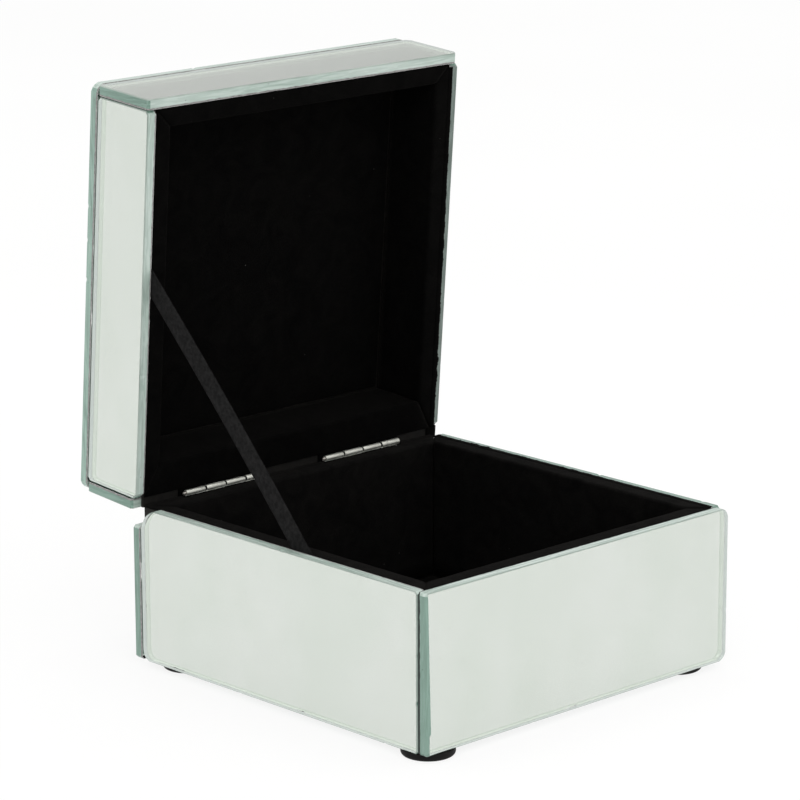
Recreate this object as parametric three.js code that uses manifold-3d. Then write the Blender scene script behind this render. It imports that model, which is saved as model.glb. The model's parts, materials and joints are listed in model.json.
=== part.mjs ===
// Mirrored vanity trinket box: a velvet-lined wooden box and lid clad in cut glass mirror panels,
// two four-knuckle butt hinges along the back, a ribbon stay on the left side and four round feet.
// Millimetres, +Z up. -Y is the front, +Y the hinge side. The lid stands open against the ribbon
// stay. Everything is drawn about the middle of the base, then moved forward at the end, so that
// the origin lies on the table under the middle of the open box.

import * as THREE from 'three';
import { mergeVertices } from 'three/addons/utils/BufferGeometryUtils.js';
import Module from 'manifold-3d';

const wasm = await Module();
wasm.setup();

// ---- Driving dimensions ----------------------------------------------------------------------

const OUTER = 160; // width and depth over the glass
const HALF = OUTER / 2;
const FOOT_HEIGHT = 3;
const FOOT_RADIUS = 10;
const BASE_GLASS_HEIGHT = 60.5;
const LID_HEIGHT = 33.6; // lid rim to the outer face of the top mirror
const RIM_GAP = 1.6; // between the two rims when the lid is shut
const OPEN_ANGLE = 85.6; // degrees, where the ribbon pulls taut

const GLASS = 4; // mirror thickness
const ARRIS = 0.4; // ground chamfer round every glass edge
const CLIP = 3.2; // cut corner of a glass panel where it stands free
const SMALL_CLIP = 1; // cut corner where two panels meet
const HINGE_CLIP = 8; // larger cut at the hinge end of the base's left mirror
const ADHESIVE = 0.5; // between glass and wood
const SEAM = 0.4; // between two glass panels
const GLUE = 0.3; // between wood, board and velvet

const WOOD = 6; // wall thickness
const LID_BACK_WOOD = 11.4; // thicker lid wall that carries the hinges
const FLOOR_BOARD = 3;
const VELVET = 0.8;

const BACK_MIRROR_DROP = 7.5; // the base back mirror stops this far below the rim
const LID_BACK_MIRROR_LIFT = 2.6; // the lid back mirror stops this far short of the rim

const BASE_RAIL_OUT = 3; // the base's back wall stands out this far over the dropped mirror
const LID_RAIL_OUT = 4.2; // and the lid's, over the end of its back mirror
const RAIL_LIP_INSET = 0.2; // velvet edge in from the face of the base's rail
const HINGE_INSET = 2.9; // hinge axis in from the outer back face
const HINGE_CENTRES = { left: -36, right: 36.7 };
const HINGE_LENGTH = 40;
const KNUCKLES = 4;
const KNUCKLE_GAP = 0.35;
const BARREL_RADIUS = 1.15;
const PIN_RADIUS = 0.6;
const RUNNING_CLEARANCE = 0.03; // between pin and bore, measured at the flats
const PIN_STUB = 1.3; // pin standing out of the left end of the barrel
const LEAF_THICKNESS = 0.8;
const LEAF_WIDTH = 5.2; // leaf on the rim, in front of the wood's back face
const WEB = 0.75; // strip that joins a leaf to its knuckles
const ROUND_SEGMENTS = 24;

const RIBBON_WIDTH = 8.3;
const RIBBON_THICKNESS = 0.3;
const RIBBON_BASE_REACH = 88.5; // hinge axis to where the ribbon crosses the base's rim
const RIBBON_LID_REACH = 86.5; // and the lid's
const RIBBON_TAIL = 14; // glued length beyond each rim

const FORWARD = 15.276; // the open lid reaches back this far beyond the base, halved

const FOOT_CENTRES = {
  foot_front_left: [-70, -71],
  foot_front_right: [65.7, -67.2],
  foot_back_left: [-66.8, 64.2],
  foot_back_right: [67, 66],
};

// ---- Derived levels --------------------------------------------------------------------------

const RIM = FOOT_HEIGHT + BASE_GLASS_HEIGHT;
const AXIS_Y = HALF - HINGE_INSET;
const AXIS_Z = RIM + RIM_GAP / 2;
const GLASS_INNER = HALF - GLASS;
const WOOD_OUTER = GLASS_INNER - ADHESIVE;
const WOOD_INNER = WOOD_OUTER - WOOD;
const LID_BACK_INNER = WOOD_OUTER - LID_BACK_WOOD;
const LIP_DROP = 0.1; // the velvet lies this far under the glass rim
const WOOD_DROP = LIP_DROP + VELVET + GLUE; // wood rim below the glass rim
const LEAF_DROP = WOOD_DROP + 0.1;
const THETA = THREE.MathUtils.degToRad(OPEN_ANGLE);

// ---- Materials -------------------------------------------------------------------------------

function material(color, roughness, metalness) {
  return new THREE.MeshStandardMaterial({ color, roughness, metalness });
}

const mirrorGlass = () => material(0xd7ddd5, 0.04, 0.9);
const blackWood = () => material(0x17130f, 0.75, 0);
const velvet = () => material(0x0a0a0a, 0.95, 0);
const nickel = () => material(0xbeb9af, 0.3, 1);
const rubber = () => material(0x141414, 0.7, 0);
const ribbonCloth = () => material(0x1e1e1e, 0.8, 0);

// ---- Solid helpers ---------------------------------------------------------------------------

function toSolid(geometry) {
  const bare = geometry.clone();
  bare.deleteAttribute('normal');
  bare.deleteAttribute('uv');
  const merged = mergeVertices(bare, 1e-5);
  const vertProperties = new Float32Array(merged.attributes.position.array);
  const triVerts = new Uint32Array(merged.index.array);
  return new wasm.Manifold(new wasm.Mesh({ numProp: 3, vertProperties, triVerts }));
}

function toGeometry(solid) {
  const mesh = solid.getMesh();
  const geometry = new THREE.BufferGeometry();
  geometry.setAttribute('position', new THREE.BufferAttribute(mesh.vertProperties, 3));
  geometry.setIndex(new THREE.BufferAttribute(mesh.triVerts, 1));
  geometry.computeVertexNormals();
  return geometry;
}

function boxBetween(low, high) {
  const size = high.map((value, i) => value - low[i]);
  const middle = high.map((value, i) => (value + low[i]) / 2);
  const geometry = new THREE.BoxGeometry(...size);
  geometry.translate(...middle);
  return geometry;
}

function barAlongX(radius, from, to) {
  const geometry = new THREE.CylinderGeometry(radius, radius, to - from, ROUND_SEGMENTS);
  geometry.rotateZ(Math.PI / 2);
  geometry.translate((from + to) / 2, 0, 0);
  return geometry;
}

function place(parent, name, geometry, finish, position = [0, 0, 0], rotation = [0, 0, 0]) {
  const mesh = new THREE.Mesh(geometry, finish);
  mesh.name = name;
  mesh.position.set(...position);
  mesh.rotation.set(...rotation);
  parent.add(mesh);
  return mesh;
}

// ---- Glass panels ----------------------------------------------------------------------------

// A clipped rectangle from (0, 0) to (width, height). clips runs from the low left corner
// anticlockwise: low left, low right, high right, high left.
function panelGeometry(width, height, clips) {
  const [a, b, c, d] = clips;
  const outline = new THREE.Shape();
  outline.moveTo(a, 0);
  outline.lineTo(width - b, 0);
  outline.lineTo(width, b);
  outline.lineTo(width, height - c);
  outline.lineTo(width - c, height);
  outline.lineTo(d, height);
  outline.lineTo(0, height - d);
  outline.lineTo(0, a);
  outline.closePath();
  const geometry = new THREE.ExtrudeGeometry(outline, {
    depth: GLASS - 2 * ARRIS,
    bevelEnabled: true,
    bevelThickness: ARRIS,
    bevelSize: ARRIS,
    bevelOffset: -ARRIS,
    bevelSegments: 1,
  });
  geometry.translate(0, 0, ARRIS);
  return geometry;
}

const FACING_FRONT = [Math.PI / 2, 0, 0]; // panel x -> X, panel y -> Z, thickness -> -Y
const FACING_SIDE = [Math.PI / 2, Math.PI / 2, 0]; // panel x -> Y, panel y -> Z, thickness -> X

const CLIPS = {
  base_front: [SMALL_CLIP, CLIP, CLIP, SMALL_CLIP],
  base_back: [SMALL_CLIP, SMALL_CLIP, SMALL_CLIP, SMALL_CLIP],
  base_left: [SMALL_CLIP, CLIP, HINGE_CLIP, SMALL_CLIP],
  base_right: [SMALL_CLIP, CLIP, SMALL_CLIP, SMALL_CLIP],
  lid_top: [CLIP, CLIP, CLIP, CLIP],
  lid_front: [SMALL_CLIP, 2, 2, SMALL_CLIP],
  lid_back: [SMALL_CLIP, SMALL_CLIP, SMALL_CLIP, SMALL_CLIP],
  lid_left: [1.3, 2, 1.3, 1.3],
  lid_right: [1.3, 2, 1.3, 1.3],
};

// Side mirrors run between the front and back mirrors.
function sideMirrors(group, prefix, bottom, height) {
  const length = 2 * (GLASS_INNER - SEAM);
  for (const [side, x] of [['left', -HALF], ['right', GLASS_INNER]]) {
    const geometry = panelGeometry(length, height, CLIPS[`${prefix}_${side}`]);
    const position = [x, -length / 2, bottom];
    place(group, `${prefix}_${side}_mirror`, geometry, mirrorGlass(), position, FACING_SIDE);
  }
}

// ---- Velvet linings --------------------------------------------------------------------------

// A velvet strip for one wall, running along X: the leg hangs on the wall's inner face and the
// lip covers the wood rim. inner is the leg's exposed face and y grows towards the wall.
function liningGeometry({ legLength, lipLength, inner, outer, low, high }) {
  const leg = boxBetween([-legLength / 2, inner, low], [legLength / 2, inner + VELVET, high]);
  const lip = boxBetween([-lipLength / 2, inner, high - VELVET], [lipLength / 2, outer, high]);
  return toGeometry(toSolid(leg).add(toSolid(lip)));
}

// ---- Hinges ----------------------------------------------------------------------------------

function knuckleSpan(index) {
  const pitch = (HINGE_LENGTH + KNUCKLE_GAP) / KNUCKLES;
  const from = -HINGE_LENGTH / 2 + index * pitch;
  return [from, from + pitch - KNUCKLE_GAP];
}

// A leaf with its knuckles, axis on the origin along X, leaf below the axis and towards -Y.
// The lid's leaf is the same shape turned over.
function leafGeometry(knuckles) {
  const front = WOOD_OUTER - LEAF_WIDTH - AXIS_Y;
  const top = -(RIM_GAP / 2 + LEAF_DROP);
  const bottom = top - LEAF_THICKNESS;
  const plateEnd = -BARREL_RADIUS + WEB;
  const half = HINGE_LENGTH / 2;
  let leaf = toSolid(boxBetween([-half, front, bottom], [half, plateEnd, top]));
  for (const index of knuckles) {
    const [from, to] = knuckleSpan(index);
    leaf = leaf.add(toSolid(boxBetween([from, -BARREL_RADIUS, bottom], [to, plateEnd, 0])));
    leaf = leaf.add(toSolid(barAlongX(BARREL_RADIUS, from, to)));
  }
  const bore = (PIN_RADIUS + RUNNING_CLEARANCE) / Math.cos(Math.PI / ROUND_SEGMENTS);
  return leaf.subtract(toSolid(barAlongX(bore, -HINGE_LENGTH, HINGE_LENGTH)));
}

// Cuts a solid away, from low to high and behind front, along the length of both hinges.
function cutHingeSpans(solid, front, low, high) {
  let rest = solid;
  for (const centre of Object.values(HINGE_CENTRES)) {
    const from = centre - HINGE_LENGTH / 2 - PIN_STUB - GLUE;
    const to = centre + HINGE_LENGTH / 2 + GLUE + 0.2;
    rest = rest.subtract(toSolid(boxBetween([from, front, low], [to, HALF + 5, high])));
  }
  return rest;
}

// A back wall with a rail along its rim, rebated for the hinge leaves. The rail stands out over
// the end of the back mirror and is cut away round the barrels.
function hingeWall(wall, rail, rebateLow, rebateHigh) {
  const wood = cutHingeSpans(toSolid(wall), WOOD_OUTER - LEAF_WIDTH - GLUE, rebateLow, rebateHigh);
  return toGeometry(wood.add(cutHingeSpans(toSolid(rail), WOOD_INNER, -HALF, 2 * HALF)));
}

// ---- Base ------------------------------------------------------------------------------------

function buildBase() {
  const base = new THREE.Group();
  const boardTop = FOOT_HEIGHT + FLOOR_BOARD;
  const woodTop = RIM - WOOD_DROP;

  const w = WOOD_OUTER;
  const board = boxBetween([-w, -w, FOOT_HEIGHT], [w, w, boardTop]);
  place(base, 'base_floor_board', board, blackWood());
  const front = boxBetween([-w, -w, boardTop], [w, -WOOD_INNER, woodTop]);
  place(base, 'base_front_wall', front, blackWood());
  const back = boxBetween([-w, WOOD_INNER, boardTop], [w, w, woodTop]);
  const railLow = RIM - BACK_MIRROR_DROP + GLUE;
  const rail = boxBetween([-w, w - 1, railLow], [w, w + BASE_RAIL_OUT, woodTop]);
  const rebateFloor = RIM - LEAF_DROP - LEAF_THICKNESS - GLUE;
  place(base, 'base_back_wall', hingeWall(back, rail, rebateFloor, RIM + 5), blackWood());

  for (const [side, sign] of [['left', -1], ['right', 1]]) {
    const wall = new THREE.BoxGeometry(WOOD, 2 * WOOD_INNER, woodTop - boardTop);
    const x = (sign * (WOOD_OUTER + WOOD_INNER)) / 2;
    place(base, `base_${side}_wall`, wall, blackWood(), [x, 0, (woodTop + boardTop) / 2]);
  }

  const frontMirror = panelGeometry(OUTER, BASE_GLASS_HEIGHT, CLIPS.base_front);
  const frontPlace = [-HALF, -GLASS_INNER, FOOT_HEIGHT];
  place(base, 'base_front_mirror', frontMirror, mirrorGlass(), frontPlace, FACING_FRONT);
  const backHeight = BASE_GLASS_HEIGHT - BACK_MIRROR_DROP;
  const backMirror = panelGeometry(OUTER, backHeight, CLIPS.base_back);
  const backPlace = [-HALF, HALF, FOOT_HEIGHT];
  place(base, 'base_back_mirror', backMirror, mirrorGlass(), backPlace, FACING_FRONT);
  sideMirrors(base, 'base', FOOT_HEIGHT, BASE_GLASS_HEIGHT);

  addBaseLining(base, boardTop);
  addFeet(base);
  return base;
}

function addBaseLining(base, boardTop) {
  const face = WOOD_INNER - GLUE - VELVET;
  const low = boardTop + GLUE;
  const padTop = low + VELVET;
  const pad = boxBetween([-face, -face, low], [face, face, padTop]);
  place(base, 'base_lining_floor', pad, velvet());

  const run = 2 * face - GLUE;
  const span = { low: padTop + GLUE, high: RIM - LIP_DROP };
  const shape = { ...span, legLength: run, inner: face, outer: WOOD_OUTER };
  const across = { ...shape, lipLength: 2 * WOOD_OUTER };
  const along = { ...shape, lipLength: run };
  const turns = { back: 0, front: Math.PI, left: Math.PI / 2, right: -Math.PI / 2 };
  for (const [side, turn] of Object.entries(turns)) {
    let strip = liningGeometry(side === 'back' || side === 'front' ? across : along);
    if (side === 'back') {
      strip = toGeometry(toSolid(strip).add(railLip()));
    }
    place(base, `base_lining_${side}`, strip, velvet(), [0, 0, 0], [0, 0, turn]);
  }
}

// The velvet that carries on over the base's rail, between and beyond the barrels.
function railLip() {
  const high = RIM - LIP_DROP;
  const end = WOOD_OUTER + BASE_RAIL_OUT - RAIL_LIP_INSET;
  const lip = boxBetween([-WOOD_OUTER, WOOD_OUTER - 1, high - VELVET], [WOOD_OUTER, end, high]);
  return cutHingeSpans(toSolid(lip), WOOD_OUTER, -HALF, 2 * HALF);
}

function footGeometry() {
  const round = 1.6;
  const profile = [new THREE.Vector2(0, 0)];
  for (let step = 0; step <= 4; step += 1) {
    const angle = (step / 4) * (Math.PI / 2);
    const x = FOOT_RADIUS - round + round * Math.sin(angle);
    profile.push(new THREE.Vector2(x, round - round * Math.cos(angle)));
  }
  profile.push(new THREE.Vector2(FOOT_RADIUS, FOOT_HEIGHT));
  profile.push(new THREE.Vector2(0, FOOT_HEIGHT));
  const geometry = new THREE.LatheGeometry(profile, 32);
  geometry.rotateX(Math.PI / 2);
  return geometry;
}

function addFeet(base) {
  for (const [name, [x, y]] of Object.entries(FOOT_CENTRES)) {
    place(base, name, footGeometry(), rubber(), [x, y, 0]);
  }
}

// ---- Lid -------------------------------------------------------------------------------------

// The lid is drawn shut, with its rim plane at z = 0 and the base's own x and y, then hung on
// the hinge axis and turned open.
function buildLid() {
  const lid = new THREE.Group();
  const topInner = LID_HEIGHT - GLASS;
  const boardHigh = topInner - ADHESIVE;
  const boardLow = boardHigh - FLOOR_BOARD;
  const wallHigh = boardLow - GLUE;

  const w = WOOD_OUTER;
  const board = boxBetween([-w, -w, boardLow], [w, w, boardHigh]);
  place(lid, 'lid_top_board', board, blackWood());
  const front = boxBetween([-w, -w, WOOD_DROP], [w, -WOOD_INNER, wallHigh]);
  place(lid, 'lid_front_wall', front, blackWood());
  const back = boxBetween([-w, LID_BACK_INNER, WOOD_DROP], [w, w, wallHigh]);
  const railHigh = LID_BACK_MIRROR_LIFT - GLUE;
  const rail = boxBetween([-w, w - 1, WOOD_DROP], [w, w + LID_RAIL_OUT, railHigh]);
  const rebateRoof = LEAF_DROP + LEAF_THICKNESS + GLUE;
  place(lid, 'lid_back_wall', hingeWall(back, rail, -5, rebateRoof), blackWood());

  const wallFrom = -WOOD_INNER + GLUE;
  const wallTo = LID_BACK_INNER - GLUE;
  for (const [side, sign] of [['left', -1], ['right', 1]]) {
    const wall = new THREE.BoxGeometry(WOOD, wallTo - wallFrom, wallHigh - WOOD_DROP);
    const x = (sign * (WOOD_OUTER + WOOD_INNER)) / 2;
    const position = [x, (wallFrom + wallTo) / 2, (wallHigh + WOOD_DROP) / 2];
    place(lid, `lid_${side}_wall`, wall, blackWood(), position);
  }

  const sideHeight = topInner - SEAM;
  const topMirror = panelGeometry(OUTER, OUTER, CLIPS.lid_top);
  place(lid, 'lid_top_mirror', topMirror, mirrorGlass(), [-HALF, -HALF, topInner]);
  const frontMirror = panelGeometry(OUTER, sideHeight, CLIPS.lid_front);
  const frontPlace = [-HALF, -GLASS_INNER, 0];
  place(lid, 'lid_front_mirror', frontMirror, mirrorGlass(), frontPlace, FACING_FRONT);
  const backHeight = sideHeight - LID_BACK_MIRROR_LIFT;
  const backMirror = panelGeometry(OUTER, backHeight, CLIPS.lid_back);
  const backPlace = [-HALF, HALF, LID_BACK_MIRROR_LIFT];
  place(lid, 'lid_back_mirror', backMirror, mirrorGlass(), backPlace, FACING_FRONT);
  sideMirrors(lid, 'lid', 0, sideHeight);

  addLidLining(lid, boardLow);
  return lid;
}

// Lid lining strips are the base's shape turned over, so their lips face down when shut.
function addLidLining(lid, boardLow) {
  const face = WOOD_INNER - GLUE - VELVET;
  const backFace = LID_BACK_INNER - GLUE - VELVET;
  const padHigh = boardLow - GLUE;
  const pad = boxBetween([-face, -face, padHigh - VELVET], [face, backFace, padHigh]);
  place(lid, 'lid_lining_top', pad, velvet());

  const legEnd = padHigh - VELVET - GLUE;
  const shape = { legLength: 2 * face - GLUE, outer: WOOD_OUTER, low: -legEnd, high: -LIP_DROP };
  const across = { ...shape, lipLength: 2 * WOOD_OUTER };
  const backLining = liningGeometry({ ...across, inner: backFace });
  place(lid, 'lid_lining_back', backLining, velvet(), [0, 0, 0], [0, Math.PI, 0]);
  const frontLining = liningGeometry({ ...across, inner: face });
  place(lid, 'lid_lining_front', frontLining, velvet(), [0, 0, 0], [Math.PI, 0, 0]);

  const run = face + backFace - GLUE;
  const middle = (backFace - face) / 2;
  const along = { ...shape, legLength: run, lipLength: run, inner: face };
  for (const [side, turn] of [['left', -Math.PI / 2], ['right', Math.PI / 2]]) {
    const strip = liningGeometry(along);
    place(lid, `lid_lining_${side}`, strip, velvet(), [0, middle, 0], [Math.PI, 0, turn]);
  }
}

// ---- Ribbon stay -----------------------------------------------------------------------------

// A taut flat ribbon in the slot between the left glass and the left wood walls.
function ribbonGeometry() {
  const lower = new THREE.Vector2(AXIS_Y - RIBBON_BASE_REACH, RIM);
  const upper = new THREE.Vector2(-RIBBON_LID_REACH, RIM_GAP / 2);
  upper.rotateAround(new THREE.Vector2(0, 0), -THETA);
  upper.add(new THREE.Vector2(AXIS_Y, AXIS_Z));
  const run = upper.clone().sub(lower);
  const angle = run.angle();
  const half = RIBBON_WIDTH / 2;
  const from = -RIBBON_TAIL;
  const to = run.length() + RIBBON_TAIL;
  const corners = [[from, -half], [to, -half], [to, half], [from, half]];
  const points = corners.map(([along, across]) => {
    const point = new THREE.Vector2(along, across);
    return point.rotateAround(new THREE.Vector2(0, 0), angle).add(lower);
  });
  return new THREE.ExtrudeGeometry(new THREE.Shape(points), {
    depth: RIBBON_THICKNESS,
    bevelEnabled: false,
  });
}

// ---- Assembly --------------------------------------------------------------------------------

const box = new THREE.Group();
box.position.y = -FORWARD;
const base = buildBase();
box.add(base);

const ribbonX = -(GLASS_INNER + WOOD_OUTER + RIBBON_THICKNESS) / 2;
place(base, 'stay_ribbon', ribbonGeometry(), ribbonCloth(), [ribbonX, 0, 0], FACING_SIDE);

const lidPivot = new THREE.Group();
lidPivot.position.set(0, AXIS_Y, AXIS_Z);
lidPivot.rotation.x = -THETA;
const lid = buildLid();
lid.position.set(0, -AXIS_Y, RIM_GAP / 2);
lidPivot.add(lid);
box.add(lidPivot);

for (const [side, centre] of Object.entries(HINGE_CENTRES)) {
  const baseLeaf = toGeometry(leafGeometry([1, 3]));
  place(base, `hinge_${side}_base_leaf`, baseLeaf, nickel(), [centre, AXIS_Y, AXIS_Z]);
  const lidLeaf = toGeometry(leafGeometry([0, 2]).mirror([0, 0, 1]));
  place(lidPivot, `hinge_${side}_lid_leaf`, lidLeaf, nickel(), [centre, 0, 0]);
  const half = HINGE_LENGTH / 2;
  const pin = barAlongX(PIN_RADIUS, -half - PIN_STUB, half + 0.2);
  place(base, `hinge_${side}_pin`, pin, nickel(), [centre, AXIS_Y, AXIS_Z]);
}

export default box;
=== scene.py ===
"""Looks for the mirrored vanity trinket box: cut glass with silvered backs, velvet linings, satin
nickel hinges, a woven ribbon stay and rubber feet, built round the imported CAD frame.

Lengths are metres. "Shut frame" means the CAD frame with the lid turned shut about its hinge; lid
pieces are drawn there and then turned open to where the CAD lid rests."""

import json
import math
import random

import bmesh
import bpy
from mathutils import Matrix, Vector, noise


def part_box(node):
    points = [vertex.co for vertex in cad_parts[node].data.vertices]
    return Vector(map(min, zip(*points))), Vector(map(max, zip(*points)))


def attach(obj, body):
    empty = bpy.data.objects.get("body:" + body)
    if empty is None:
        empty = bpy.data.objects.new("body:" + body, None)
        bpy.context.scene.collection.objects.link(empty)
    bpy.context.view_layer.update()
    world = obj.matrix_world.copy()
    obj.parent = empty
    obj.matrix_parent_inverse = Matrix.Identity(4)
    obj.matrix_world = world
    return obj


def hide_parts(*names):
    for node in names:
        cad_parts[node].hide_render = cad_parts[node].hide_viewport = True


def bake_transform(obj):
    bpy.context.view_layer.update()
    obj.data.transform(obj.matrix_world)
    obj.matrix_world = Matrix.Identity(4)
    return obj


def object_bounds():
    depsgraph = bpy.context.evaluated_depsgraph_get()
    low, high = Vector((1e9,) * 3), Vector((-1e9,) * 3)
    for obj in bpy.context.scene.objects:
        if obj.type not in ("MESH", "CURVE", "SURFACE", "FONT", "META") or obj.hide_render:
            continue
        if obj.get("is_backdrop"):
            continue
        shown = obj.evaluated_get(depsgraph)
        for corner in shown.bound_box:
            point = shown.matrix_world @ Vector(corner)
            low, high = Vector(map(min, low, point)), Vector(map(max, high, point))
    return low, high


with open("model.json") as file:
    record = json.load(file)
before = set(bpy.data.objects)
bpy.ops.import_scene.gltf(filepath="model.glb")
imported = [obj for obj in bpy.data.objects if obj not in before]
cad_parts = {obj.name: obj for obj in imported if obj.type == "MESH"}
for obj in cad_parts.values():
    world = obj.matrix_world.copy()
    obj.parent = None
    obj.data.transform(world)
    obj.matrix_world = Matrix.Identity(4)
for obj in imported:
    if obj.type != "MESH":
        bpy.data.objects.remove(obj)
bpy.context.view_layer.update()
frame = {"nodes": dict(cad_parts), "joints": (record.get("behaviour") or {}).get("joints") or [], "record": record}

MM = 0.001
SIDES = ("left", "right")
JOINT = frame["joints"][0]
AXIS = Vector(JOINT["pos_m"])
OPEN = math.radians(max(JOINT["range_deg"]))
TO_REST = Matrix.Translation(AXIS) @ Matrix.Rotation(-OPEN, 4, "X") @ Matrix.Translation(-AXIS)
TO_SHUT = TO_REST.inverted()

# ---- Places taken from the frame ----


def shut_box(node):
    """Corners of a lid node's own box in the shut frame, from its tilted box at rest."""
    low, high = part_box(node)
    middle = TO_SHUT @ ((low + high) / 2)
    half = (high - low) / 2
    c, s = math.cos(OPEN), math.sin(OPEN)
    spread = c * c - s * s
    half.y, half.z = (half.y * c - half.z * s) / spread, (half.z * c - half.y * s) / spread
    return middle - half, middle + half


def node_box(node, body):
    """Corners of a node's own box in the shut frame."""
    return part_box(node) if body == "base" else shut_box(node)


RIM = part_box("base_left_mirror")[1].z
LID_RIM = 2 * AXIS.z - RIM
GLASS_OUTER = -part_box("base_left_mirror")[0].x
GLASS_INNER = -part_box("base_left_mirror")[1].x
FLOOR_LOW, FLOOR_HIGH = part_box("base_floor_board")
WOOD_OUTER = FLOOR_HIGH.x
MIDDLE_Y = (FLOOR_LOW.y + FLOOR_HIGH.y) / 2
BACK_WOOD = MIDDLE_Y + WOOD_OUTER

# ---- Mesh helpers ----


def finish_piece(name, bm, materials, body, replaced=(), smooth=True):
    """Turns a bmesh drawn in the shut frame into a piece that rides on a body."""
    bmesh.ops.recalc_face_normals(bm, faces=bm.faces)
    mesh = bpy.data.meshes.new(name)
    bm.to_mesh(mesh)
    bm.free()
    if body == "lid":
        mesh.transform(TO_REST)
    for material in materials:
        mesh.materials.append(material)
    for polygon in mesh.polygons:
        polygon.use_smooth = smooth
    obj = bpy.data.objects.new(name, mesh)
    bpy.context.scene.collection.objects.link(obj)
    if replaced:
        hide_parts(*replaced)
    if body:
        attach(obj, body)
    return obj


def grid_tube(bm, rings, closed_ends=True):
    """Joins rings of equal point counts, each a closed loop, into a tube with capped ends."""
    loops = [[bm.verts.new(p) for p in ring] for ring in rings]
    count = len(loops[0])
    for near, far in zip(loops, loops[1:]):
        for i in range(count):
            j = (i + 1) % count
            bm.faces.new((near[i], near[j], far[j], far[i]))
    if closed_ends:
        bm.faces.new(list(reversed(loops[0])))
        bm.faces.new(loops[-1])
    return loops


def triangulate_caps(bm):
    """Splits faces of more than four corners, which only end caps have."""
    bmesh.ops.triangulate(bm, faces=[f for f in bm.faces if len(f.verts) > 4])


def ripple(place, size, seed):
    """Smooth noise along a line, between about -1 and 1, with features of the given size."""
    return noise.noise(Vector((place / size, seed, 0)))


def lathe(bm, profile, centre, segments, along):
    """Turns (place, radius) pairs about a line through centre that runs along x or z."""
    rings = []
    for place, radius in profile:
        ring = []
        for i in range(segments):
            a = 2 * math.pi * i / segments
            c, s = radius * math.cos(a), radius * math.sin(a)
            ring.append(centre + Vector((place, c, s) if along == "x" else (c, s, place)))
        rings.append(ring)
    grid_tube(bm, rings)


def arc(cx, cy, radius, start, end, steps):
    """Points of an arc between two angles in degrees."""
    points = []
    for i in range(steps + 1):
        a = math.radians(start + (end - start) * i / steps)
        points.append((cx + radius * math.cos(a), cy + radius * math.sin(a)))
    return points


# ---- Material helpers ----


class Finish:
    """A node material built round one Principled shader."""

    def __init__(self, name):
        self.material = bpy.data.materials.new(name)
        self.material.use_nodes = True
        self.tree = self.material.node_tree
        self.tree.nodes.clear()
        output = self.tree.nodes.new("ShaderNodeOutputMaterial")
        self.shader = self.tree.nodes.new("ShaderNodeBsdfPrincipled")
        self.tree.links.new(self.shader.outputs["BSDF"], output.inputs["Surface"])
        self.place = self.tree.nodes.new("ShaderNodeTexCoord").outputs["Object"]

    def put(self, **values):
        for key, value in values.items():
            socket = self.shader.inputs[key.replace("_", " ")]
            if isinstance(value, bpy.types.NodeSocket):
                self.tree.links.new(value, socket)
            else:
                socket.default_value = value
        return self

    def stretched(self, scale):
        node = self.tree.nodes.new("ShaderNodeMapping")
        node.inputs["Scale"].default_value = scale
        self.tree.links.new(self.place, node.inputs["Vector"])
        return node.outputs["Vector"]

    def noise(self, size, detail=4.0, stretch=(1, 1, 1), roughness=0.55, distortion=0.0):
        """Noise whose features are about size metres across."""
        node = self.tree.nodes.new("ShaderNodeTexNoise")
        node.inputs["Scale"].default_value = 1 / size
        node.inputs["Detail"].default_value = detail
        node.inputs["Roughness"].default_value = roughness
        node.inputs["Distortion"].default_value = distortion
        self.tree.links.new(self.stretched(stretch), node.inputs["Vector"])
        return node.outputs["Fac"]

    def cells(self, size, stretch=(1, 1, 1)):
        """Distance from scattered points about size metres apart."""
        node = self.tree.nodes.new("ShaderNodeTexVoronoi")
        node.inputs["Scale"].default_value = 1 / size
        self.tree.links.new(self.stretched(stretch), node.inputs["Vector"])
        return node.outputs["Distance"]

    def ramp(self, factor, *stops):
        node = self.tree.nodes.new("ShaderNodeValToRGB")
        elements = node.color_ramp.elements
        while len(elements) < len(stops):
            elements.new(0.5)
        for element, (position, colour) in zip(elements, stops):
            if isinstance(colour, (int, float)):
                colour = (colour, colour, colour)
            element.position = position
            element.color = (*colour, 1)
        self.tree.links.new(factor, node.inputs["Fac"])
        return node.outputs["Color"]

    def math(self, operation, a, b):
        node = self.tree.nodes.new("ShaderNodeMath")
        node.operation = operation
        for socket, value in zip(node.inputs, (a, b)):
            if isinstance(value, bpy.types.NodeSocket):
                self.tree.links.new(value, socket)
            else:
                socket.default_value = value
        return node.outputs[0]

    def mix(self, factor, a, b, blend="MIX"):
        node = self.tree.nodes.new("ShaderNodeMix")
        node.data_type = "RGBA"
        node.blend_type = blend
        sockets = [s for s in node.inputs if s.type == "RGBA"]
        for socket, value in [(node.inputs["Factor"], factor), (sockets[0], a), (sockets[1], b)]:
            if isinstance(value, bpy.types.NodeSocket):
                self.tree.links.new(value, socket)
            elif isinstance(value, (int, float)):
                socket.default_value = value
            else:
                socket.default_value = (*value, 1)
        return [s for s in node.outputs if s.type == "RGBA"][0]

    def bump(self, height, distance, strength=1.0):
        node = self.tree.nodes.new("ShaderNodeBump")
        node.inputs["Strength"].default_value = strength
        node.inputs["Distance"].default_value = distance
        self.tree.links.new(height, node.inputs["Height"])
        self.tree.links.new(node.outputs["Normal"], self.shader.inputs["Normal"])
        return self


# ---- Materials ----


def glass_face():
    """Clear float glass: a pale green tint and faint wipe marks."""
    f = Finish("mirror_glass_face")
    smears = f.noise(0.03, 3, stretch=(1, 1, 0.35), distortion=0.6)
    tint = f.ramp(smears, (0.35, (0.852, 0.878, 0.85)), (0.65, (0.868, 0.888, 0.866)))
    f.put(Base_Color=tint, IOR=1.5, Transmission_Weight=1.0)
    f.put(Roughness=f.ramp(smears, (0.55, 0.0), (0.85, 0.015)))
    return f.material


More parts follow.
